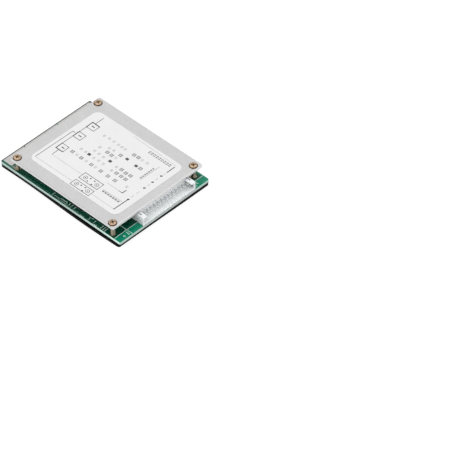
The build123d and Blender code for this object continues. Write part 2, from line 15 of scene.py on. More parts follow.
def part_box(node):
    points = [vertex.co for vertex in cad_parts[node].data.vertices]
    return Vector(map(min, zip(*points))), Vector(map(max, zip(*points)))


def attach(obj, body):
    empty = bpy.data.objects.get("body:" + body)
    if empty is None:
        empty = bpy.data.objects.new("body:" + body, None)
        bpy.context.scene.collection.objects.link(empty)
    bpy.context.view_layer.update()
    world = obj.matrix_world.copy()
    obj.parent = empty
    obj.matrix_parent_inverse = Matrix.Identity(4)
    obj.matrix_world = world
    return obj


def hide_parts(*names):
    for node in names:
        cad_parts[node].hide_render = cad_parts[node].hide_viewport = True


bl_info = {
    "name": "Battery board dresser",
    "version": (1, 0, 0),
    "blender": (4, 5, 0),
    "location": "View3D > Sidebar > Board",
    "description": "Dresses a battery management board round its CAD frame",
    "category": "Object",
}

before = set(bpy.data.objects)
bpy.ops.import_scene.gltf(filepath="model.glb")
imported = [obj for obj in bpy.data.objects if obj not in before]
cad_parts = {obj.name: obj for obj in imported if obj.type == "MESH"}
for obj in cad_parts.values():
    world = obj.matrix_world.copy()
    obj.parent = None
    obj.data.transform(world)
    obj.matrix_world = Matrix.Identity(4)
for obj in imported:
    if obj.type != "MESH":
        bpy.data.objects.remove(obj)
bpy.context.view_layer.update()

MM = 0.001
IMAGE_SIDE = 470

# Points closer than this are one point
CAD_MERGE = 0.002 * MM
SPIN_MERGE = 0.001 * MM
# Points this near a top face lie on it
SKIN = 0.01 * MM
# Faces larger than this stay flat on a smooth piece
FLAT_FACE_AREA = 0.5 * MM * MM

# Levels read from the frame
BOARD_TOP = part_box("circuit_board")[1].z
PLATE_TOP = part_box("cover_plate")[1].z
LABEL_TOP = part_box("label")[1].z
HEAD_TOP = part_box("cover_screws")[1].z
SHANK_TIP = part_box("cover_screws")[0].z


# What every length and every colour has in common
LENGTH = {"unit": "LENGTH", "subtype": "DISTANCE"}
COLOUR = {"size": 3, "min": 0, "max": 1, "subtype": "COLOR"}


class BoardSizes(bpy.types.PropertyGroup):
    """Sizes a user would change."""

    head_radius: bpy.props.FloatProperty(
        name="Screw head radius",
        description="Radius of the pan heads on the cover",
        default=1.9 * MM,
        **LENGTH,
    )
    thread_radius: bpy.props.FloatProperty(
        name="Thread radius",
        description="Outer radius of the screw thread",
        default=0.97 * MM,
        **LENGTH,
    )
    thread_pitch: bpy.props.FloatProperty(
        name="Thread pitch",
        description="Rise of the thread in one turn",
        default=0.4 * MM,
        **LENGTH,
    )
    thread_depth: bpy.props.FloatProperty(
        name="Thread depth",
        description="Depth of the thread grooves",
        default=0.16 * MM,
        **LENGTH,
    )
    ink_height: bpy.props.FloatProperty(
        name="Ink height",
        description="How proud the printed marks stand",
        default=0.02 * MM,
        **LENGTH,
    )
    track_height: bpy.props.FloatProperty(
        name="Track height",
        description="How proud the masked copper tracks stand",
        default=0.05 * MM,
        **LENGTH,
    )
    edge_round: bpy.props.FloatProperty(
        name="Edge rounding",
        description="Rounding along moulded and cut edges",
        default=0.08 * MM,
        **LENGTH,
    )


class BoardColours(bpy.types.PropertyGroup):
    """Colours a user would change."""

    mask: bpy.props.FloatVectorProperty(
        name="Solder mask",
        description="Green of the solder mask",
        default=(0.004, 0.24, 0.135),
        **COLOUR,
    )
    laminate: bpy.props.FloatVectorProperty(
        name="Laminate",
        description="Pale glass laminate at the board's cut edge",
        default=(0.46, 0.63, 0.57),
        **COLOUR,
    )
    sheet: bpy.props.FloatVectorProperty(
        name="Insulating sheet",
        description="Black of the insulating sheet",
        default=(0.003, 0.003, 0.0035),
        **COLOUR,
    )
    plate: bpy.props.FloatVectorProperty(
        name="Cover plate",
        description="Satin aluminium of the cover",
        default=(0.65, 0.65, 0.65),
        **COLOUR,
    )
    paper: bpy.props.FloatVectorProperty(
        name="Sticker",
        description="White of the sticker",
        default=(0.77, 0.77, 0.77),
        **COLOUR,
    )
    ink: bpy.props.FloatVectorProperty(
        name="Sticker ink",
        description="Dark print on the sticker",
        default=(0.03, 0.03, 0.03),
        **COLOUR,
    )
    brass: bpy.props.FloatVectorProperty(
        name="Screws",
        description="Brown brass of the cover screws",
        default=(0.44, 0.33, 0.25),
        **COLOUR,
    )
    nylon: bpy.props.FloatVectorProperty(
        name="Header",
        description="Natural white of the moulded header",
        default=(0.8, 0.82, 0.83),
        **COLOUR,
    )


def sizes():
    return bpy.context.scene.board_sizes


def colours():
    return bpy.context.scene.board_colours


# Finishes


class Finish:
    """A principled material whose patterns read object coordinates in millimetres."""

    def __init__(self, name, metallic=0.0, roughness=0.5):
        self.material = bpy.data.materials.new(name)
        self.material.use_nodes = True
        self.tree = self.material.node_tree
        self.shader = self.tree.nodes["Principled BSDF"]
        self.shader.inputs["Metallic"].default_value = metallic
        self.shader.inputs["Roughness"].default_value = roughness
        self.relief = None
        source = self.add("ShaderNodeTexCoord").outputs["Object"]
        self.place = self.stretched(source, (1 / MM, 1 / MM, 1 / MM))
        self.axes = self.split(self.place)

    def add(self, kind, **settings):
        node = self.tree.nodes.new(kind)
        for key, value in settings.items():
            setattr(node, key, value)
        return node

    def feed(self, value, socket):
        """Gives a socket another socket, a number or a plain colour."""
        if isinstance(value, bpy.types.NodeSocket):
            self.tree.links.new(value, socket)
        elif socket.type == "RGBA":
            socket.default_value = (*value, 1)
        else:
            socket.default_value = value

    def split(self, source):
        node = self.add("ShaderNodeSeparateXYZ")
        self.feed(source, node.inputs[0])
        return node.outputs

    def stretched(self, source, scale):
        node = self.add("ShaderNodeMapping")
        self.feed(source, node.inputs["Vector"])
        self.feed(scale, node.inputs["Scale"])
        return node.outputs["Vector"]

    def math(self, operation, *values):
        node = self.add("ShaderNodeMath", operation=operation)
        for value, socket in zip(values, node.inputs):
            self.feed(value, socket)
        return node.outputs[0]

    def noise(self, scale, detail=3.0, stretch=None):
        """Noise with about `scale` grains to the millimetre."""
        node = self.add("ShaderNodeTexNoise")
        place = self.stretched(self.place, stretch) if stretch else self.place
        for name, value in (("Vector", place), ("Scale", scale), ("Detail", detail)):
            self.feed(value, node.inputs[name])
        return node.outputs["Fac"]

    def ranged(self, source, low, high, start=0.3, end=0.7):
        """The source stretched from start..end to low..high."""
        node = self.add("ShaderNodeMapRange")
        names = ("Value", "From Min", "From Max", "To Min", "To Max")
        for name, value in zip(names, (source, start, end, low, high)):
            self.feed(value, node.inputs[name])
        return node.outputs["Result"]

    def patches(self, scale, detail=3.0, stretch=None):
        """Soft patches between 0 and 1."""
        return self.ranged(self.noise(scale, detail, stretch), 0, 1)

    def mixed(self, factor, first, second, blend="MIX"):
        """One colour into another; each may be a plain colour or a socket."""
        node = self.add("ShaderNodeMix", data_type="RGBA", blend_type=blend)
        sides = [socket for socket in node.inputs if socket.type == "RGBA"]
        for value, socket in zip((factor, first, second), (node.inputs["Factor"], *sides)):
            self.feed(value, socket)
        return [socket for socket in node.outputs if socket.type == "RGBA"][0]

    def toned(self, base, layer):
        """The base colour times a colour kept on the mesh's points."""
        tone = self.add("ShaderNodeAttribute", attribute_name=layer)
        return self.mixed(1, base, tone.outputs["Color"], "MULTIPLY")

    def upright(self):
        """1 on faces that look up or down, 0 on the sides."""
        normal = self.add("ShaderNodeNewGeometry").outputs["True Normal"]
        return self.math("GREATER_THAN", self.math("ABSOLUTE", self.split(normal)["Z"]), 0.5)

    def within(self, low, high):
        """1 between two corners in millimetres, 0 outside them."""
        inside = None
        for axis, least, most in zip(self.axes, low, high):
            near = self.math("COMPARE", axis, (least + most) / 2, (most - least) / 2)
            inside = self.math("MULTIPLY", inside, near) if inside else near
        return inside

    def zoned(self, base, corners, colour):
        """The base colour, with another between two corners."""
        return self.mixed(self.within(*corners), base, colour)

    def colour(self, source):
        self.feed(source, self.shader.inputs["Base Color"])

    def rough(self, pattern, low, high):
        """Roughness between two values, in the pattern's patches."""
        self.feed(self.ranged(pattern, low, high), self.shader.inputs["Roughness"])

    def bump(self, height, depth, strength=1.0):
        """Relief of the given depth in millimetres, on top of any earlier relief."""
        node = self.add("ShaderNodeBump")
        node.inputs["Distance"].default_value = depth * MM
        node.inputs["Strength"].default_value = strength
        self.feed(height, node.inputs["Height"])
        if self.relief:
            self.feed(self.relief, node.inputs["Normal"])
        self.relief = node.outputs["Normal"]
        self.feed(self.relief, self.shader.inputs["Normal"])
        return self


def tinted(colour, share):
    """A colour made darker or lighter."""
    return tuple(min(1.0, part * share) for part in colour)


# Zones of the board's faces and of its cut edge, between corners in millimetres
# The mask under the cover, darkened with streaks: painted shade
COVER_SHADE_ZONE = ((-27.3, -25.3), (31.2, 25.0))
DULL_END = ((-34.3, -25.3), (-27.3, -22.4))
DARK_END = ((-35.0, -26.0), (-34.25, 26.0))
# Painted shadow on the board's back edge behind the cover's back-left corner
BACK_CORNER_SHADOW = ((-34.25, 24.9), (-28.5, 26.0))
# A painted highlight on the front cut edge, growing from X 5 to X 28
FRONT_EDGE_HIGHLIGHT = ((5.0, -25.4), (34.5, -25.2))
HIGHLIGHT_RAMP = (5, 28)
# Painted shade on the cut edge under the header
HEADER_SHADE_EDGE = ((34.6, -12.0), (34.8, 18.0))
# A black band low on the cut edge
LOW_EDGE_BAND = ((-35.0, -26.0, 1.0), (35.0, 26.0, 1.82))
DULL_GREEN = (0.02, 0.12, 0.085)
HIGHLIT_LAMINATE = (0.66, 0.88, 0.79)
SHADED_LAMINATE = (0.45, 0.5, 0.49)


def solder_mask_finish(name, share=1.0):
    """Glossy green mask on both faces, with painted shade under the cover and a painted shadow
    behind its back-left corner; pale laminate at the cut edge, with a painted highlight along the
    front, painted shade under the header and a black band low on the edge.
    """
    finish = Finish(name, roughness=0.3)
    finish.shader.inputs["Specular IOR Level"].default_value = 0.25
    mask = tinted(colours().mask, share)
    green = finish.mixed(finish.patches(0.35, 2), tinted(mask, 0.82), tinted(mask, 1.12))
    streaks = finish.patches(0.7, 2, (0.3, 2.5, 1))
    # Painted shade under the cover: the mask darkened, with streaks
    cover_shade = finish.mixed(streaks, tinted(mask, 0.2), tinted(mask, 0.36))
    green = finish.zoned(green, COVER_SHADE_ZONE, cover_shade)
    green = finish.zoned(green, DULL_END, DULL_GREEN)
    # A near-black strip along the far left end, and a painted shadow behind the cover's back-left
    # corner
    for corners in (DARK_END, BACK_CORNER_SHADOW):
        green = finish.zoned(green, corners, tinted(mask, 0.1))
    laminate = colours().laminate
    plies = finish.ranged(finish.noise(1.2, 2, (1, 1, 9)), 0, 1, 0.4, 0.6)
    edge = finish.mixed(plies, tinted(laminate, 0.85), laminate)
    # Painted highlight on the front cut edge, brighter towards the header
    along = finish.ranged(finish.axes[0], 0, 1, *HIGHLIGHT_RAMP)
    edge_highlight = finish.math("MULTIPLY", finish.within(*FRONT_EDGE_HIGHLIGHT), along)
    edge = finish.mixed(edge_highlight, edge, HIGHLIT_LAMINATE)
    # Painted shade under the header's overhang
    edge = finish.zoned(edge, HEADER_SHADE_EDGE, SHADED_LAMINATE)
    edge = finish.zoned(edge, LOW_EDGE_BAND, tinted(colours().sheet, 1.5))
    finish.colour(finish.mixed(finish.upright(), edge, green))
    orange_peel = finish.noise(3.5, 2)
    finish.rough(orange_peel, 0.24, 0.36)
    return finish.bump(orange_peel, 0.02, 0.4).material


def sheet_finish():
    """Black fibre sheet with a faint woven grain."""
    finish = Finish("black_fibre_sheet", roughness=0.6)
    finish.shader.inputs["Specular IOR Level"].default_value = 0.03
    black = colours().sheet
    weft = finish.noise(2.2, 2, (4, 0.4, 1))
    warp = finish.noise(2.2, 2, (0.4, 4, 1))
    finish.colour(finish.mixed(finish.ranged(weft, 0, 1), tinted(black, 0.7), tinted(black, 1.8)))
    finish.rough(warp, 0.5, 0.7)
    return finish.bump(weft, 0.02, 0.5).bump(warp, 0.02, 0.5).material


# The cover's rims along the front and at the header's end: painted shade on the front rim, a
# painted highlight on the end rim
PLATE_FRONT_SHADE = ((-29.0, -26.0), (31.4, -25.26))
PLATE_END_HIGHLIGHT = ((30.78, -25.3), (31.4, 26.0))


def aluminium_finish():
    """Fine satin aluminium with a faint rolled grain; painted shade on the front rim, a painted
    highlight on the end rim and painted light on the sides.
    """
    finish = Finish("satin_aluminium", metallic=0.9, roughness=0.42)
    grey = colours().plate
    top = finish.mixed(finish.patches(0.12, 2), tinted(grey, 0.95), tinted(grey, 1.03))
    speckled = finish.ranged(finish.noise(1.6, 2), 0, 1, 0.35, 0.65)
    top = finish.mixed(speckled, tinted(grey, 0.93), top)
    top = finish.zoned(top, PLATE_END_HIGHLIGHT, tinted(grey, 1.15))
    top = finish.zoned(top, PLATE_FRONT_SHADE, tinted(grey, 0.82))
    # The sides painted lighter than the top: painted light
    sides = finish.zoned(tinted(grey, 1.06), PLATE_FRONT_SHADE, tinted(grey, 1.04))
    finish.colour(finish.mixed(finish.upright(), sides, top))
    rolled = finish.noise(1.1, 3, (0.12, 2.4, 1))
    finish.rough(rolled, 0.36, 0.48)
    return finish.bump(finish.noise(5.0), 0.006, 0.5).bump(rolled, 0.004, 0.4).material


def paper_finish():
    """White sticker with a faint paper tooth."""
    finish = Finish("sticker_paper", roughness=0.55)
    white = colours().paper
    finish.colour(finish.mixed(finish.patches(0.2, 2), tinted(white, 0.98), white))
    tooth = finish.noise(6.0, 4)
    finish.rough(tooth, 0.48, 0.62)
    return finish.bump(tooth, 0.008, 0.4).material


SOFT_INK = (0.16, 0.16, 0.165)
BOARD_INK = (0.7, 0.92, 0.83)


def ink_finish(name, colour, blotch):
    """Print that is a little uneven in its cover."""
    finish = Finish(name, roughness=0.6)
    finish.colour(finish.mixed(finish.patches(4.0), colour, tinted(colour, blotch)))
    finish.rough(finish.noise(5.0, 2), 0.5, 0.7)
    return finish.bump(finish.noise(8.0, 2), 0.004, 0.3).material


# Mesh colour that carries the screws' painted shade and highlights
TONE_LAYER = "tone"


def brass_finish(name, toned=False):
    """Brown plated brass, a little worn; with painted shade and highlights where the mesh carries
    them.
    """
    finish = Finish(name, metallic=1.0, roughness=0.36)
    brass = colours().brass
    worn = finish.mixed(finish.patches(1.6, 4), tinted(brass, 0.75), tinted(brass, 1.25))
    finish.colour(finish.toned(worn, TONE_LAYER) if toned else worn)
    finish.rough(finish.noise(5.0), 0.28, 0.48)
    return finish.bump(finish.noise(9.0), 0.01, 0.4).material


# Painted shade where the header's ears have slots
EAR_SLOT_SHADES = (
    ((31.7, -11.4, 4.0), (33.8, -10.8, 7.25)),
    ((31.7, 16.7, 4.0), (33.8, 17.3, 7.25)),
)
NYLON_SCATTER = 0.45
NYLON_SCATTER_DEPTH = 0.6 * MM


def nylon_finish():
    """Natural white nylon with a fine moulded texture, and painted shade in the slots of its
    ears.
    """
    finish = Finish("moulded_nylon", roughness=0.42)
    white = colours().nylon
    finish.shader.inputs["Subsurface Weight"].default_value = NYLON_SCATTER
    finish.shader.inputs["Subsurface Radius"].default_value = (NYLON_SCATTER_DEPTH,) * 3
    finish.shader.inputs["Subsurface Scale"].default_value = 1.0
    cover = finish.mixed(finish.patches(0.4, 2), tinted(white, 0.97), white)
    for corners in EAR_SLOT_SHADES:
        cover = finish.zoned(cover, corners, tinted(white, 0.2))
    finish.colour(cover)
    finish.rough(finish.noise(3.0), 0.34, 0.5)
    return finish.bump(finish.noise(7.0), 0.01, 0.4).material


BRIGHT_TIN = (1.0, 0.985, 0.95)


def tin_finish(name, roughness=0.32, waves=0.03, shares=(0.62, 0.78)):
    """Dipped tin: silvery with soft waves."""
    finish = Finish(name, metallic=1.0, roughness=roughness)
    dull, bright = (tinted(BRIGHT_TIN, share) for share in shares)
    finish.colour(finish.mixed(finish.patches(1.3), dull, bright))
    finish.rough(finish.noise(2.5), roughness - 0.1, roughness + 0.12)
    finish.bump(finish.noise(0.9, 2), waves, 0.6)
    return finish.bump(finish.noise(6.0, 2), 0.006, 0.4).material


# Where the pins leave the header's back wall: painted shade
PIN_ROOTS = ((30.5, -20.0), (31.7, 20.0))
PIN_TIN = ((0.7, 0.72, 0.73), (0.76, 0.78, 0.79))
PIN_ROOT_SHADE = (0.55, 0.55, 0.57)


def pin_finish():
    """Dull tin on the pins, with painted shade where they leave the wall."""
    finish = Finish("pin_tin", metallic=0.1, roughness=0.5)
    dull = finish.mixed(finish.patches(2.0, 2), *PIN_TIN)
    finish.colour(finish.zoned(dull, PIN_ROOTS, PIN_ROOT_SHADE))
    finish.rough(finish.noise(3.0, 2), 0.4, 0.55)
    return finish.bump(finish.noise(6.0, 2), 0.006, 0.4).material


EPOXY_BLACKS = ((0.012, 0.012, 0.013), (0.03, 0.03, 0.031))


def epoxy_finish():
    """Matte black moulding compound."""
    finish = Finish("black_epoxy", roughness=0.6)
    grain = finish.noise(9.0, 4)
    finish.colour(finish.mixed(finish.ranged(grain, 0, 1), *EPOXY_BLACKS))
    finish.rough(finish.noise(2.0), 0.5, 0.7)
    return finish.bump(grain, 0.02, 0.5).material


SILICONE = (0.5, 0.55, 0.62)
# Near-black shunt bodies: partly their dull metal, partly painted shade under the cover
DARKENED_SHUNT_ALLOY = (0.07, 0.068, 0.065)
CERAMIC = (0.36, 0.24, 0.13)
RESISTOR_COAT = (0.02, 0.02, 0.025)


def body_finish(name, colour, roughness):
    """Fired ceramic or rubbery body with a fine grain."""
    finish = Finish(name, roughness=roughness)
    grain = finish.noise(6.0)
    shade = finish.ranged(grain, 0, 1)
    finish.colour(finish.mixed(shade, tinted(colour, 0.85), tinted(colour, 1.1)))
    finish.rough(finish.noise(2.5, 2), roughness - 0.08, roughness + 0.08)
    return finish.bump(grain, 0.012, 0.4).material


# Shapes

DOT_SIDES = 16
RING_SIDES = 24


class Layer:
    """Flat shapes of one height on one level; places and widths in millimetres."""

    def __init__(self, level, height):
        self.bm = bmesh.new()
        self.level = level
        self.height = height

    def at(self, x, y, rise=0.0):
        return Matrix.Translation((x * MM, y * MM, self.level + rise))

    def bar(self, start, end, width, share=1.0):
        """A straight bar from one point to another, of a share of the layer's height."""
        run = Vector(end) - Vector(start)
        middle = (Vector(start) + Vector(end)) / 2
        height = self.height * share
        turn = Matrix.Rotation(math.atan2(run.y, run.x), 4, "Z")
        size = Matrix.Diagonal((run.length * MM, width * MM, height, 1))
        place = self.at(middle.x, middle.y, height / 2)
        bmesh.ops.create_cube(self.bm, size=1, matrix=place @ turn @ size)

    def dash(self, x, y, length, width):
        """A bar along X about a point."""
        self.bar((x - length / 2, y), (x + length / 2, y), width)

    def trail(self, points, width):
        """Bars end to end, each run on by half its width to close the corners."""
        for start, end in zip(points, points[1:]):
            step = (Vector(end) - Vector(start)).normalized() * width / 2
            self.bar(Vector(start) - step, Vector(end) + step, width)

    def bars(self, ends, width):
        for start, end in ends:
            self.bar(start, end, width)

    def trails(self, lines, width):
        for points in lines:
            self.trail(points, width)

    def box(self, low, high, width):
        """A rectangle drawn as a line."""
        self.trail([low, (high[0], low[1]), high, (low[0], high[1]), low], width)

    def row(self, start, step, count, length, width):
        """Equal bars that follow each other along one line."""
        for index in range(count):
            place = Vector(start) + Vector(step) * index
            self.bar(place, place + Vector(step).normalized() * length, width)

    def dot(self, centre, radius):
        """A flat round dot."""
        bmesh.ops.create_cone(
            self.bm, cap_ends=True, segments=DOT_SIDES, radius1=radius * MM, radius2=radius * MM,
            depth=self.height, matrix=self.at(*centre, self.height / 2),
        )

    def ring(self, centre, radius, width, sides=RING_SIDES):
        """A flat ring, cut from a disc by an inset and lifted."""
        bm = self.bm
        made = bmesh.ops.create_circle(
            bm, cap_ends=True, segments=sides, radius=radius * MM, matrix=self.at(*centre)
        )
        disc = made["verts"][0].link_faces[0]
        rim = bmesh.ops.inset_region(
            bm, faces=[disc], thickness=width * MM, use_boundary=True, use_even_offset=True
        )["faces"]
        bmesh.ops.delete(bm, geom=[disc], context="FACES_ONLY")
        lifted = bmesh.ops.extrude_face_region(bm, geom=rim, use_keep_orig=True)["geom"]
        raised = [part for part in lifted if isinstance(part, bmesh.types.BMVert)]
        bmesh.ops.translate(bm, verts=raised, vec=(0, 0, self.height))


def outward_mesh(name, bm):
    """A bmesh as a mesh with its faces outwards. The bmesh is freed."""
    bmesh.ops.recalc_face_normals(bm, faces=bm.faces)
    mesh = bpy.data.meshes.new(name)
    bm.to_mesh(mesh)
    bm.free()
    return mesh


def placed(name, data):
    """A new object in the scene."""
    made = bpy.data.objects.new(name, data)
    bpy.context.scene.collection.objects.link(made)
    return made


def piece(name, bm, material, stands_for=(), smooth=None):
    """Makes a bmesh a piece of the part."""
    mesh = outward_mesh(name, bm)
    mesh.materials.append(material)
    if smooth is not None:
        mesh.shade_smooth()
        mesh.set_sharp_from_angle(angle=math.radians(smooth))
        for face in mesh.polygons:
            if face.area > FLAT_FACE_AREA:
                face.use_smooth = False
    made = placed(name, mesh)
    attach(made, "root")
    if stands_for:
        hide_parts(*stands_for)


def copied(node):
    """A bmesh of a CAD node with its doubles merged."""
    bm = bmesh.new()
    bm.from_mesh(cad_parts[node].data)
    bmesh.ops.remove_doubles(bm, verts=bm.verts, dist=CAD_MERGE)
    return bm


def merged(node):
    """A copy of a CAD node with its flat faces joined."""
    bm = copied(node)
    bmesh.ops.dissolve_limit(bm, angle_limit=math.radians(1), verts=bm.verts, edges=bm.edges)
    return bm


def rounded(node, width, angle):
    """A merged copy of a CAD node, rounded along the edges sharper than an angle."""
    bm = merged(node)
    full = [edge for edge in bm.edges if len(edge.link_faces) == 2]
    sharp = [edge for edge in full if edge.calc_face_angle(0) > math.radians(angle)]
    bmesh.ops.bevel(
        bm, geom=sharp, offset=width, offset_type="OFFSET", segments=2, profile=0.5,
        affect="EDGES", clamp_overlap=True, material=-1,
    )
    return bm


def diced(node, step, spare=0.0):
    """A merged copy of a CAD node cut into square cells, so that its faces can bend."""
    bm = merged(node)
    low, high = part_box(node)
    for axis in (0, 1):
        normal = Vector((0, 0, 0))
        normal[axis] = 1
        for index in range(1, int((high[axis] - low[axis] - spare) / step) + 1):
            geometry = bm.verts[:] + bm.edges[:] + bm.faces[:]
            place = normal * (low[axis] + index * step)
            bmesh.ops.bisect_plane(bm, geom=geometry, plane_co=place, plane_no=normal)
    return bm


def span(points, axis):
    """The lowest and highest place of some points along one axis."""
    values = [point[axis] for point in points]
    return min(values), max(values)


def islands(node):
    """The points of each separate solid in a CAD node, in the order of their low corners."""
    bm = copied(node)
    left = set(bm.verts)
    found = []
    while left:
        group = []
        front = [left.pop()]
        while front:
            vert = front.pop()
            group.append(vert.co.copy())
            near = left & {edge.other_vert(vert) for edge in vert.link_edges}
            left -= near
            front.extend(near)
        found.append(group)
    bm.free()
    return sorted(found, key=lambda group: [round(span(group, axis)[0], 6) for axis in range(3)])


def feet(node, reach=0.15 * MM):
    """The rectangle where each solid of a node stands on the board."""
    found = []
    for group in islands(node):
        foot = [point for point in group if point.z < BOARD_TOP + reach]
        if foot:
            (left, right), (near, far) = span(foot, 0), span(foot, 1)
            found.append(((left, near), (right, far)))
    return found


# Pieces

SCREW_SIDES = 32
# Half profile of the head, as shares of its radius and height
HEAD_PROFILE = (
    (0.0, 1.0), (0.62, 0.98), (0.74, 0.9), (0.82, 0.78), (0.88, 0.62), (0.95, 0.4),
    (1.0, 0.18), (1.0, 0.05), (0.98, 0.0), (0.45, 0.0),
)
# The cross recess
RECESS_ARM = 2.3 * MM
RECESS_SLOT = 0.55 * MM
RECESS_DEPTH = 0.4 * MM
RECESS_TAPER = 0.62
RECESS_CLEAR = 0.1 * MM
# One turn of the thread: shares of its depth cut away and of its pitch risen
THREAD_PROFILE = ((1, 0), (1, 0.15), (0, 0.5), (0, 0.65))
THREAD_OVERLAP = 0.05 * MM
HEAD_TURNS = (0.35, 1.1, -0.5, 0.8)
# Tones of the brass: a greyer shank, partly its plating and partly painted shade under the cover;
# painted shade in the recess and round the head's side; a painted highlight on the face. Then the
# share of the head's radius and height that is its face
HOLLOW_SHADE = (0.2, 0.17, 0.14)
FACE_HIGHLIGHT = (1.2, 1.15, 1.05)
SHANK_TONE = (0.62, 0.75, 0.75)
FACE_REACH = 0.85
FACE_RISE = 0.6


def screw_places():
    """Centres of the four screws, from the CAD solids."""
    groups = islands("cover_screws")
    return [Vector([sum(span(group, axis)) / 2 for axis in (0, 1)]) for group in groups]


def spun(bm, chain, rise=0.0):
    """Turns a half profile once about Z. With a rise it climbs as it turns."""
    edges = [bm.edges.new(pair) for pair in zip(chain, chain[1:])]
    bmesh.ops.spin(
        bm, geom=chain + edges, cent=(0, 0, 0), axis=(0, 0, 1), angle=math.tau,
        dvec=(0, 0, rise / SCREW_SIDES), steps=SCREW_SIDES, use_merge=not rise,
    )
    bmesh.ops.remove_doubles(bm, verts=bm.verts, dist=SPIN_MERGE)


def closed(bm):
    """Fills every hole that is left."""
    rim = [edge for edge in bm.edges if len(edge.link_faces) == 1]
    bmesh.ops.holes_fill(bm, edges=rim, sides=0)
    return bm


def spun_head(radius, height):
    """Pan head turned from its half profile."""
    bm = bmesh.new()
    spun(bm, [bm.verts.new((out * radius, 0, up * height)) for out, up in HEAD_PROFILE])
    return closed(bm)


def threaded_shank(size, low, high):
    """A helical thread: a saw-toothed profile that rises by one pitch as it turns once."""
    bm = bmesh.new()
    chain = []
    for turn in range(int((high - low) / size.thread_pitch) + 3):
        for cut, risen in THREAD_PROFILE:
            level = low + (turn - 1 + risen) * size.thread_pitch
            radius = size.thread_radius - cut * size.thread_depth
            chain.append(bm.verts.new((radius, 0, level)))
    spun(bm, chain, size.thread_pitch)
    for level, normal in ((low, (0, 0, -1)), (high, (0, 0, 1))):
        geometry = bm.verts[:] + bm.edges[:] + bm.faces[:]
        cut = bmesh.ops.bisect_plane(
            bm, geom=geometry, plane_co=(0, 0, level), plane_no=normal, clear_outer=True
        )
        edge = [part for part in cut["geom_cut"] if isinstance(part, bmesh.types.BMEdge)]
        bmesh.ops.triangle_fill(bm, edges=edge, use_beauty=True, normal=normal)
    return closed(bm)


def recess_wedge(top, turned):
    """One bar of the cross recess, narrower towards the bottom."""
    bm = bmesh.new()
    turn = Matrix.Rotation(turned, 4, "Z")
    block = Matrix.Translation((0, 0, top - RECESS_DEPTH / 2 + RECESS_CLEAR))
    size = Matrix.Diagonal((RECESS_ARM, RECESS_SLOT, RECESS_DEPTH + 2 * RECESS_CLEAR, 1))
    made = bmesh.ops.create_cube(bm, size=1, matrix=turn @ block @ size)
    low = [vert for vert in made["verts"] if vert.co.z < top - RECESS_DEPTH / 2]
    bmesh.ops.scale(bm, vec=(RECESS_TAPER, RECESS_TAPER, 1), verts=low)
    return bm


def stamp(bm, part, place):
    """Copies one bmesh into another at a place."""
    mesh = bpy.data.meshes.new("stamp")
    part.to_mesh(mesh)
    before = len(bm.verts)
    bm.from_mesh(mesh)
    bpy.data.meshes.remove(mesh)
    bm.verts.ensure_lookup_table()
    bmesh.ops.transform(bm, matrix=place, verts=bm.verts[before:])


def carved(body, cutters):
    """A bmesh less the cutters. All of them are freed."""
    body = placed("blank", outward_mesh("blank", body))
    cutters = [placed("cutter", outward_mesh("cutter", cutter)) for cutter in cutters]
    for cutter in cutters:
        cut = body.modifiers.new("cut", "BOOLEAN")
        cut.operation = "DIFFERENCE"
        cut.solver = "EXACT"
        cut.object = cutter
    graph = bpy.context.evaluated_depsgraph_get()
    mesh = bpy.data.meshes.new_from_object(body.evaluated_get(graph))
    bm = bmesh.new()
    bm.from_mesh(mesh)
    for helper in (body, *cutters):
        bpy.data.objects.remove(helper)
    bpy.data.meshes.remove(mesh)
    return bm


def brass_tone(point, away, size):
    """Greyer shank, partly plating and partly painted shade; painted shade in the hollows; a
    painted highlight on the face.
    """
    if point.z < PLATE_TOP - SKIN:
        return SHANK_TONE
    rise = (point.z - PLATE_TOP) / (HEAD_TOP - PLATE_TOP)
    return FACE_HIGHLIGHT if rise > FACE_RISE and away < FACE_REACH * size.head_radius else HOLLOW_SHADE


class BOARD_OT_screws(bpy.types.Operator):
    """Four pan-head screws with a cross recess and a cut thread"""

    bl_idname = "board.screws"
    bl_label = "Cover screws"

    def execute(self, context):
        size = sizes()
        height = HEAD_TOP - PLATE_TOP
        wedges = [recess_wedge(height, turned) for turned in (0, math.pi / 2)]
        head = carved(spun_head(size.head_radius, height), wedges)
        bmesh.ops.translate(head, verts=head.verts, vec=(0, 0, PLATE_TOP))
        shank = threaded_shank(size, SHANK_TIP, PLATE_TOP + THREAD_OVERLAP)
        places = screw_places()
        bm = bmesh.new()
        for (x, y), turn in zip(places, HEAD_TURNS):
            place = Matrix.Translation((x, y, 0)) @ Matrix.Rotation(turn, 4, "Z")
            for part in (head, shank):
                stamp(bm, part, place)
        head.free()
        shank.free()
        layer = bm.verts.layers.float_color.new(TONE_LAYER)
        for vert in bm.verts:
            away = min((vert.co.xy - place).length for place in places)
            vert[layer] = (*brass_tone(vert.co, away, size), 1)
        brass = brass_finish("screw_brass", True)
        piece("threaded_screws", bm, brass, ["cover_screws"], smooth=35)
        return {"FINISHED"}


# Widths of the printed lines, in millimetres
LINE = 0.26
HEAVY_LINE = 0.42
HAIR_LINE = 0.12
FAINT_LINE = 0.1
RULE_LINE = 0.16
STROKE_LINE = 0.14

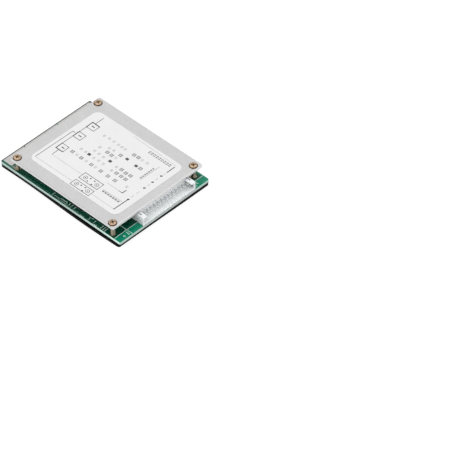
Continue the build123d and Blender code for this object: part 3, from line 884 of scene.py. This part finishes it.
# Sticker print, in millimetres on the cover
STICKER_LINES = (
    ((-17.7, 17.5), (-17.7, 12.7)), ((-19.1, 9.0), (-19.15, 5.0)),
    ((-19.2, 1.4), (-19.2, -4.6)), ((-19.9, 3.3), (-21.3, 3.3), (-21.4, -17.7)),
    ((-17.5, -8.4), (-17.4, -12.2)), ((17.6, -8.7), (19.5, -8.7)),
)
STICKER_FAINT = (
    ((-21.4, -17.9), (0.3, -17.7)), ((-17.4, -12.3), (0.3, -12.3)),
    ((10.7, -17.6), (23.7, -17.6)), ((10.7, -8.7), (17.6, -8.7)),
    ((-0.6, 18.3), (24.0, 17.6)),
)
STICKER_HEAVY = (
    ((-19.1, 9.0), (-19.2, 12.7), (-15.1, 12.6)), ((-19.15, 5.0), (-19.2, 1.4)),
    ((-19.2, -4.6), (-19.2, -8.4), (-15.3, -8.3)), ((23.7, -17.6), (23.9, -9.7)),
    ((19.5, -8.7), (19.6, -6.6)), ((24.1, 12.4), (24.1, 16.6)),
)
STICKER_RULES = (((12.7, -12.5), (23.0, -12.4)), ((19.3, 2.0), (19.6, 12.4)))
STICKER_DASHES = (
    ((23.9, -8.2), (23.9, -6.6)), ((23.9, -5.0), (23.9, -3.4)), ((23.9, 1.2), (23.9, 2.6)),
    ((23.9, 5.9), (23.9, 7.4)), ((23.9, 10.4), (24.0, 11.4)),
)
STICKER_BOXES = (
    ((-19.2, 9.0), (-15.1, 12.6)), ((-19.2, 1.3), (-15.2, 4.95)),
    ((-19.2, -8.4), (-15.3, -4.7)), ((0.3, -14.4), (10.7, -10.5)),
    ((0.3, -19.3), (10.7, -15.9)),
)
STICKER_RINGS = ((2.4, -12.5), (8.8, -12.5), (2.3, -17.6), (8.7, -17.6))
STICKER_DOTS = (
    (4.3, -11.5), (4.3, -13.5), (6.6, -11.5), (7.0, -13.8), (4.4, -17.0), (6.6, -16.8),
    (6.9, -18.9),
)
STICKER_LINKS = ((23.9, -9.7), (23.9, -0.5), (23.9, 4.2), (23.9, 9.2))
STICKER_BLOCKS = ((-6.4, -1.9), (2.7, 1.1), (6.8, 6.8), (12.3, 6.4))
STICKER_TERMINALS = ((-17.1, 10.9), (-17.0, 3.2), (-17.0, -6.5))
STICKER_FRAMES = (
    (-1.9, 4.1), (0.6, 4.0), (3.3, 6.5), (7.1, 10.5), (9.5, 10.6), (14.7, 6.5), (9.6, 0.8),
    (12.3, 0.5), (9.6, -2.1), (12.3, -2.1), (14.8, -2.1), (14.8, 0.7), (4.1, -5.6),
    (8.3, -5.7), (12.2, -5.6), (-1.4, -5.6), (-7.2, -5.6), (-12.5, -5.4),
)
STICKER_STROKES = (
    (-9.9, 10.2), (-7.2, 10.5), (-4.5, 10.5), (-1.8, 10.4), (0.2, 10.4), (2.1, 10.4),
    (11.7, 10.6), (14.5, 10.7), (-11.0, -1.8), (-8.5, -1.8), (-3.5, -2.1), (-0.9, -1.9),
    (1.8, -1.9), (-6.3, 1.1), (-3.7, 1.1), (-1.0, 1.0), (7.0, 0.5), (7.0, -2.3),
    (-6.3, 4.1), (2.9, 4.1), (-3.0, 6.4), (-0.8, 6.7), (-9.8, -5.5), (-4.3, -5.5),
    (0.9, -5.5), (18.3, -5.0),
)
# Rows of bars: start, step, count, length, width
STICKER_ROWS = (
    ((10.1, 15.6), (1.42, 0), 9, 1.0, 0.5),
    ((10.1, 16.5), (1.42, 0), 9, 1.0, 0.5),
    ((12.8, -13.3), (1.42, 0), 7, 1.0, 0.8),
    ((18.6, 2.4), (0, 1.2), 7, 0.8, 0.7),
)
RING_RADIUS = 0.98
RING_WIDTH = 0.2
HUB_RADIUS = 0.28
DOT_RADIUS = 0.36
LINK_HALF = 0.36
FRAME_HALF = 0.62
FRAME_LINE = 0.3
BLOCK = (1.5, 1.3)
TERMINAL = (1.6, 0.5)
STROKE = (1.2, STROKE_LINE)
STROKE_OFFSETS = (-0.45, 0.0, 0.45)


class BOARD_OT_sticker_print(bpy.types.Operator):
    """Plain lines, boxes, rings and dashes printed on the sticker"""

    bl_idname = "board.sticker_print"
    bl_label = "Sticker print"

    def execute(self, context):
        height = sizes().ink_height
        level = LABEL_TOP - height / 4
        dark = Layer(level, height)
        dark.trails(STICKER_LINES, LINE)
        dark.trails(STICKER_HEAVY, HEAVY_LINE)
        dark.trails(STICKER_DASHES, HAIR_LINE)
        for low, high in STICKER_BOXES:
            dark.box(low, high, LINE)
        for centre in STICKER_RINGS:
            dark.ring(centre, RING_RADIUS, RING_WIDTH)
            dark.dot(centre, HUB_RADIUS)
        for centre in STICKER_DOTS:
            dark.dot(centre, DOT_RADIUS)
        half = LINK_HALF
        for x, y in STICKER_LINKS:
            dark.bar((x - half, y - half), (x + half, y + half), 2 * half)
        for place in STICKER_BLOCKS:
            dark.dash(*place, *BLOCK)
        for place in STICKER_TERMINALS:
            dark.dash(*place, *TERMINAL)
        ink = ink_finish("sticker_ink", colours().ink, 3.0)
        piece("sticker_print", dark.bm, ink)
        grey = Layer(level, height)
        grey.trails(STICKER_FAINT, FAINT_LINE)
        grey.trails(STICKER_RULES, RULE_LINE)
        half = FRAME_HALF
        for x, y in STICKER_FRAMES:
            grey.box((x - half, y - half), (x + half, y + half), FRAME_LINE)
            grey.dash(x, y, 2 * half, LINE)
        for x, y in STICKER_STROKES:
            for offset in STROKE_OFFSETS:
                grey.dash(x, y + offset, *STROKE)
        for row in STICKER_ROWS:
            grey.row(*row)
        soft = ink_finish("sticker_grey_ink", SOFT_INK, 1.7)
        piece("sticker_marks", grey.bm, soft)
        return {"FINISHED"}


# Board print, in millimetres on the board
GUIDE_X = 31.3
GUIDE_WIDTH = 0.24
GUIDE_INSET = 0.3
BOARD_LINES = (
    ((27.6, -18.1), (31.2, -18.1)), ((31.8, -18.0), (32.9, -18.0)),
    ((33.4, -18.0), (34.3, -18.0)), ((32.0, 19.5), (32.8, 19.5)),
    ((33.2, 19.5), (34.0, 19.5)), ((-0.7, -23.7), (2.8, -23.5)),
    ((2.9, -23.6), (3.0, -24.9)), ((-1.4, -24.7), (2.6, -24.6)),
    ((-3.9, -24.1), (-1.2, -24.1)), ((8.1, -24.8), (10.2, -24.8)),
    ((11.7, -24.9), (13.7, -24.9)), ((15.8, -23.2), (16.0, -24.9)),
    ((16.2, -23.05), (17.4, -23.05)),
)
BOARD_BANKS = (
    ((32.3, -19.5), (32.3, -18.8)), ((33.0, -19.5), (33.0, -18.8)),
    ((33.7, -19.5), (33.7, -18.8)), ((32.3, 20.3), (32.3, 21.1)),
    ((33.0, 20.3), (33.0, 21.1)),
)
BANK_WIDTH = 0.32
BOARD_STAR = (33.1, -21.3)
STAR_BAR = (1.5, 0.2)
BOARD_TICKS = (-4.9, 4.2, 5.65, 7.3, 18.8, 23.1, 24.3, 25.4)
TICK_ENDS = (-25.0, -22.7)
TICK_WIDTH = 0.28
BOARD_BANDS = ((19.7, 21.1), (12.2, 13.4))
BAND_Y = -25.05
BAND_WIDTH = 0.36
OUTLINED = ("controller_body", "driver_bodies", "diode_bodies")
OUTLINE_GAP = 0.25
OUTLINE_WIDTH = 0.13


class BOARD_OT_board_print(bpy.types.Operator):
    """White outlines and ticks printed on the circuit board"""

    bl_idname = "board.board_print"
    bl_label = "Board print"

    def execute(self, context):
        white = Layer(BOARD_TOP, sizes().ink_height)
        header_low, header_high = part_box("header_housing")
        board_low, board_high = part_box("circuit_board")
        for start, end in ((board_low.y, header_low.y), (header_high.y, board_high.y)):
            near, far = start / MM + GUIDE_INSET, end / MM - GUIDE_INSET
            white.bar((GUIDE_X, near), (GUIDE_X, far), GUIDE_WIDTH)
        white.trails(BOARD_LINES, LINE)
        white.bars(BOARD_BANKS, BANK_WIDTH)
        white.dot(BOARD_STAR, HEAVY_LINE)
        white.dash(*BOARD_STAR, *STAR_BAR)
        white.bars([[(x, y) for y in TICK_ENDS] for x in BOARD_TICKS], TICK_WIDTH)
        white.bars([[(x, BAND_Y) for x in ends] for ends in BOARD_BANDS], BAND_WIDTH)
        for node in OUTLINED:
            for group in islands(node):
                left, right = (place / MM for place in span(group, 0))
                near, far = (place / MM for place in span(group, 1))
                for y in (near - OUTLINE_GAP, far + OUTLINE_GAP):
                    white.bar((left, y), (right, y), OUTLINE_WIDTH)
        ink = ink_finish("board_ink", BOARD_INK, 0.85)
        piece("board_print", white.bm, ink)
        return {"FINISHED"}


# Copper under the mask and plated holes, in millimetres on the board
RESISTOR_REACH = 0.5 * MM
TRACK_WIDTH = 0.3
TRACK_RUN = 0.5
TRACK_CLEAR = 0.6
RAIL_WIDTH = 0.22
RAIL_ENDS = (-22.0, 22.5)
RAILS = (-24.75, -24.25, -22.9, 25.1, 24.6)
POURS = ((-28.9, -24.2), (-7.5, -5.4))
POUR_Y = 0.4
POUR_WIDTH = 42
POUR_SHARE = 0.6
HOLE_COLUMNS = (-28.55, -27.8)
HOLE_START = -24.0
HOLE_PITCH = 1.78
HOLE_COUNT = 28
HOLE_RADIUS = 0.28
HOLE_RIM = 0.12
HOLE_SIDES = 12
HOLE_RISE = 1.5


class BOARD_OT_tracks(bpy.types.Operator):
    """Copper tracks and pours that stand proud under the solder mask, with plated holes"""

    bl_idname = "board.tracks"
    bl_label = "Tracks"

    def execute(self, context):
        height = sizes().track_height
        copper = Layer(BOARD_TOP, height)
        pins = sorted(sum(span(group, 1)) / 2 / MM for group in islands("header_pins"))
        rows = feet("resistor_bodies", RESISTOR_REACH)
        cells = sorted((low[1] + high[1]) / 2 / MM for low, high in rows)
        tail = sum(span(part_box("header_solder"), 0)) / 2 / MM
        bend = tail - TRACK_RUN
        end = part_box("resistor_caps")[1].x / MM
        for pin_y, cell_y in zip(pins, cells):
            knee = min(abs(pin_y - cell_y), tail - end - TRACK_CLEAR) / 2
            corners = [(bend, pin_y), (bend - knee, cell_y)]
            copper.trail([(tail, pin_y), *corners, (end - TRACK_RUN, cell_y)], TRACK_WIDTH)
        copper.trails([[(x, y) for x in RAIL_ENDS] for y in RAILS], RAIL_WIDTH)
        for left, right in POURS:
            copper.bar((left, POUR_Y), (right, POUR_Y), POUR_WIDTH, POUR_SHARE)
        mask = solder_mask_finish("masked_copper", 1.25)
        piece("masked_tracks", copper.bm, mask)
        holes = Layer(BOARD_TOP, height * HOLE_RISE)
        for x in HOLE_COLUMNS:
            for index in range(HOLE_COUNT):
                centre = (x, HOLE_START + index * HOLE_PITCH)
                holes.ring(centre, HOLE_RADIUS, HOLE_RIM, HOLE_SIDES)
        piece("plated_holes", holes.bm, tin_finish("plated_hole_tin", 0.3))
        return {"FINISHED"}


TINNED = (
    "mosfet_leads", "controller_leads", "driver_leads", "diode_straps", "capacitor_caps",
    "monitor_leads", "balance_leads", "resistor_caps",
)
SOLDER_PAD = 0.05 * MM
# How far a pad reaches round its foot: at the least, per width of foot, at the most
SPREAD_LEAST = 0.16 * MM
SPREAD_GAIN = 0.08
SPREAD_MOST = 0.28 * MM
# Steps of the fillet: share of the pad's spread inwards, millimetres up
FILLET_STEPS = ((0.45, 0.05), (0.35, 0.12))


class BOARD_OT_solder(bpy.types.Operator):
    """A pad and a solder fillet round every foot that stands on the board"""

    bl_idname = "board.solder"
    bl_label = "Solder fillets"

    def execute(self, context):
        bm = bmesh.new()
        for node in ("mosfet_tabs", *TINNED):
            for low, high in feet(node):
                length, width = high[0] - low[0], high[1] - low[1]
                spread = min(SPREAD_MOST, SPREAD_LEAST + min(length, width) * SPREAD_GAIN)
                size = Matrix.Diagonal((length + 2 * spread, width + 2 * spread, SOLDER_PAD, 1))
                middle = ((low[0] + high[0]) / 2, (low[1] + high[1]) / 2)
                place = Matrix.Translation((*middle, BOARD_TOP + SOLDER_PAD / 2))
                made = bmesh.ops.create_cube(bm, size=1, matrix=place @ size)
                faces = {face for vert in made["verts"] for face in vert.link_faces}
                top = max(faces, key=lambda face: face.calc_center_median().z)
                for inward, up in FILLET_STEPS:
                    bmesh.ops.inset_individual(
                        bm, faces=[top], thickness=spread * inward, depth=up * MM,
                        use_even_offset=True,
                    )
        piece("solder_fillets", bm, tin_finish("solder_joint_tin", 0.28, 0.02))
        return {"FINISHED"}


PAD_CELL = 0.45 * MM
PAD_DIP = 0.03 * MM
PAD_WAVE = 0.02 * MM


class BOARD_OT_wire_pads(bpy.types.Operator):
    """Wire pads whose tin has flowed into low uneven mounds"""

    bl_idname = "board.wire_pads"
    bl_label = "Wire pads"

    def execute(self, context):
        bm = diced("terminal_pads", PAD_CELL, PAD_CELL / 2)
        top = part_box("terminal_pads")[1].z
        for vert in bm.verts:
            if vert.co.z > top - SKIN:
                x, y = vert.co.x / MM, vert.co.y / MM
                wave = math.sin(1.7 * x + 0.8 * y) * math.sin(0.9 * y - 0.6 * x + 1.3)
                wave += 0.5 * math.sin(3.1 * x + 2.3) * math.sin(2.4 * y)
                vert.co.z = top - PAD_DIP - PAD_WAVE * wave
        bmesh.ops.triangulate(bm, faces=[face for face in bm.faces if len(face.verts) > 4])
        tin = tin_finish("wire_pad_tin", 0.42, 0.02, (0.5, 0.62))
        piece("tinned_wire_pads", bm, tin, ["terminal_pads"], smooth=35)
        return {"FINISHED"}


# How far the cover's cut edges lie from the frame's
COVER_RIM = 0.95 * MM
COVER_FRONT_SHIFT = 0.36 * MM
COVER_BACK_SHIFT = 0.65 * MM
COVER_END_SHIFT = -0.1 * MM


class BOARD_OT_mouldings(bpy.types.Operator):
    """Header and cover with their edges softly rounded"""

    bl_idname = "board.mouldings"
    bl_label = "Header and cover"

    def execute(self, context):
        width = sizes().edge_round
        housing = rounded("header_housing", width, 40)
        nylon = nylon_finish()
        piece("moulded_header", housing, nylon, ["header_housing"], smooth=30)
        plate = rounded("cover_plate", width, 30)
        low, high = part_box("cover_plate")
        for vert in plate.verts:
            if vert.co.y < low.y + COVER_RIM:
                vert.co.y += COVER_FRONT_SHIFT
            if vert.co.y > high.y - COVER_RIM:
                vert.co.y += COVER_BACK_SHIFT
            if vert.co.x > high.x - COVER_RIM:
                vert.co.x += COVER_END_SHIFT
        metal = aluminium_finish()
        piece("satin_cover", plate, metal, ["cover_plate"], smooth=30)
        return {"FINISHED"}


# The sheet's soft cut edges, in millimetres
SHEET_CELL = 3.0 * MM
SHEET_RIM = 1.0 * MM
FRONT_OUT = 0.05
FRONT_SWAY = 0.37
FRONT_WAVE = 76
FRONT_PHASE = 3.55
END_OUT = -0.24
END_GAIN = 0.52
END_REACH = 24


def eased(share):
    """A smooth rise from 0 to 1."""
    share = min(1, max(0, share))
    return share * share * (3 - 2 * share)


class BOARD_OT_sheet(bpy.types.Operator):
    """Insulating sheet whose cut edges wander a little, as a soft sheet's do"""

    bl_idname = "board.sheet"
    bl_label = "Insulating sheet"

    def execute(self, context):
        bm = diced("insulating_sheet", SHEET_CELL)
        low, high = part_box("insulating_sheet")
        for vert in bm.verts:
            x, y = vert.co.x / MM, vert.co.y / MM
            if vert.co.y < low.y + SHEET_RIM:
                sway = math.sin(math.tau * (x + FRONT_PHASE) / FRONT_WAVE)
                vert.co.y += (FRONT_OUT - FRONT_SWAY * sway) * MM
            if vert.co.x > high.x - SHEET_RIM:
                gain = eased((y + END_REACH) / (2 * END_REACH))
                vert.co.x += (END_OUT + END_GAIN * gain) * MM
        piece("fibre_sheet", bm, sheet_finish(), ["insulating_sheet"])
        return {"FINISHED"}


MOULDED = (
    "mosfet_bodies", "controller_body", "driver_bodies", "diode_bodies", "monitor_bodies",
    "balance_bodies",
)


class BOARD_OT_finishes(bpy.types.Operator):
    """Finishes for the CAD nodes that stay"""

    bl_idname = "board.finishes"
    bl_label = "Finishes"

    def execute(self, context):
        worn = (
            (solder_mask_finish("solder_mask"), ["circuit_board"]),
            (paper_finish(), ["label"]),
            (brass_finish("insert_brass"), ["board_inserts"]),
            (pin_finish(), ["header_pins"]),
            (tin_finish("header_solder_tin", 0.28, 0.03), ["header_solder"]),
            (tin_finish("tab_tin", 0.38, 0.02), ["mosfet_tabs"]),
            # Shunt ends tinned near-black: painted shade under the cover
            (tin_finish("shunt_tin_in_painted_shade", 0.45, 0.03, (0.1, 0.16)), ["shunt_ends"]),
            (tin_finish("lead_tin"), TINNED),
            (epoxy_finish(), MOULDED),
            (body_finish("silicone_pad", SILICONE, 0.7), ["thermal_pads"]),
            # Shunt bodies darkened by painted shade under the cover
            (body_finish("shunt_alloy", DARKENED_SHUNT_ALLOY, 0.45), ["shunt_elements"]),
            (body_finish("capacitor_ceramic", CERAMIC, 0.5), ["capacitor_bodies"]),
            (body_finish("resistor_coat", RESISTOR_COAT, 0.35), ["resistor_bodies"]),
        )
        for material, nodes in worn:
            for node in nodes:
                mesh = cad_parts[node].data
                mesh.materials.clear()
                mesh.materials.append(material)
        return {"FINISHED"}


# Stage: floor, light and camera
CAMERA_PLACE = (654.113, -610.708, 840.883)
# Azimuth, elevation and roll, in degrees
CAMERA_ANGLES = (43.537, 44.396, 0.104)
CAMERA_FOCUS_PIXELS = 3000
SENSOR = 36.0
# Soft boxes: name, place, side in metres, watts
LAMPS = (
    ("key_light", (-0.2, -0.75, 0.85), 0.7, 1.7),
    ("rim_light", (0.5, 0.7, 0.9), 0.7, 0.6),
)
# Strength of the room's light, from the first height to the second
SKY_HEIGHTS = (0.05, 0.9)
SKY_LIGHT = (0.3, 1.3)
FLOOR_RADIUS = 12
FLOOR_LEVEL = -0.02 * MM
FLOOR_GLOW = 0.8
FLOOR_GREY = 0.25


def studio_light(scene):
    """A white room, brightest overhead, and two weak soft boxes."""
    world = bpy.data.worlds.new("studio")
    world.use_nodes = True
    tree = world.node_tree
    sky = tree.nodes["Background"]
    sky.inputs["Color"].default_value = (1, 1, 1, 1)
    split = tree.nodes.new("ShaderNodeSeparateXYZ")
    tree.links.new(tree.nodes.new("ShaderNodeTexCoord").outputs["Generated"], split.inputs[0])
    rise = tree.nodes.new("ShaderNodeMapRange")
    names = ("From Min", "From Max", "To Min", "To Max")
    for name, value in zip(names, (*SKY_HEIGHTS, *SKY_LIGHT)):
        rise.inputs[name].default_value = value
    tree.links.new(split.outputs["Z"], rise.inputs["Value"])
    plain = tree.nodes.new("ShaderNodeMix")
    plain.inputs["B"].default_value = 1.0
    path = tree.nodes.new("ShaderNodeLightPath")
    tree.links.new(path.outputs["Is Camera Ray"], plain.inputs["Factor"])
    tree.links.new(rise.outputs["Result"], plain.inputs["A"])
    tree.links.new(plain.outputs["Result"], sky.inputs["Strength"])
    scene.world = world
    for name, place, side, power in LAMPS:
        lamp = bpy.data.lights.new(name, "AREA")
        lamp.shape = "SQUARE"
        lamp.size = side
        lamp.energy = power
        light = placed(name, lamp)
        light.location = place
        light.rotation_mode = "QUATERNION"
        light.rotation_quaternion = (-Vector(place)).to_track_quat("-Z", "Y")


def pale_floor():
    """A wide disc just under the board."""
    bm = bmesh.new()
    level = Matrix.Translation((0, 0, FLOOR_LEVEL))
    bmesh.ops.create_circle(bm, cap_ends=True, segments=64, radius=FLOOR_RADIUS, matrix=level)
    mesh = bpy.data.meshes.new("floor")
    for face in bm.faces:
        if face.normal.z < 0:
            face.normal_flip()
    bm.to_mesh(mesh)
    bm.free()
    finish = Finish("pale_floor", roughness=0.9)
    finish.colour((FLOOR_GREY,) * 3)
    finish.shader.inputs["Emission Color"].default_value = (1, 1, 1, 1)
    finish.shader.inputs["Emission Strength"].default_value = FLOOR_GLOW
    mesh.materials.append(finish.material)
    return placed("floor", mesh)


def photo_camera():
    """A camera at the photograph's angle, framed for a square picture."""
    azimuth, elevation, roll = map(math.radians, CAMERA_ANGLES)
    level = Vector((math.cos(azimuth), math.sin(azimuth), 0))
    ahead = Vector((math.sin(azimuth), -math.cos(azimuth), 0))
    back = ahead * math.cos(elevation) + Vector((0, 0, math.sin(elevation)))
    above = back.cross(level)
    right = math.cos(roll) * level + math.sin(roll) * above
    up = -math.sin(roll) * level + math.cos(roll) * above
    turn = Matrix((right, up, back)).transposed().to_4x4()
    data = bpy.data.cameras.new("camera")
    data.sensor_width = SENSOR
    data.lens = CAMERA_FOCUS_PIXELS * SENSOR / IMAGE_SIDE
    data.clip_start = 0.05
    data.clip_end = 50
    camera = placed("camera", data)
    camera.matrix_world = Matrix.Translation(Vector(CAMERA_PLACE) * MM) @ turn
    return camera


class BOARD_OT_stage(bpy.types.Operator):
    """Pale floor, soft studio light and the camera"""

    bl_idname = "board.stage"
    bl_label = "Stage"

    def execute(self, context):
        scene = context.scene
        pale_floor()
        studio_light(scene)
        scene.camera = photo_camera()
        scene.view_settings.view_transform = "Standard"
        return {"FINISHED"}


STEPS = (
    BOARD_OT_finishes,
    BOARD_OT_sheet,
    BOARD_OT_mouldings,
    BOARD_OT_screws,
    BOARD_OT_wire_pads,
    BOARD_OT_tracks,
    BOARD_OT_solder,
    BOARD_OT_board_print,
    BOARD_OT_sticker_print,
    BOARD_OT_stage,
)


class BOARD_PT_panel(bpy.types.Panel):
    """Lists the steps that dress the board"""

    bl_idname = "BOARD_PT_panel"
    bl_label = "Battery board"
    bl_space_type = "VIEW_3D"
    bl_region_type = "UI"
    bl_category = "Board"

    def draw(self, context):
        for group in (sizes(), colours()):
            for name in group.__annotations__:
                self.layout.prop(group, name)
        for step in STEPS:
            self.layout.operator(step.bl_idname)


CLASSES = (BoardSizes, BoardColours, *STEPS, BOARD_PT_panel)


def register():
    for kind in CLASSES:
        bpy.utils.register_class(kind)
    bpy.types.Scene.board_sizes = bpy.props.PointerProperty(type=BoardSizes)
    bpy.types.Scene.board_colours = bpy.props.PointerProperty(type=BoardColours)


def unregister():
    del bpy.types.Scene.board_colours
    del bpy.types.Scene.board_sizes
    for kind in reversed(CLASSES):
        bpy.utils.unregister_class(kind)


def main():
    register()
    for step in STEPS:
        group, name = step.bl_idname.split(".")
        getattr(getattr(bpy.ops, group), name)()


if __name__ == "__main__":
    main()
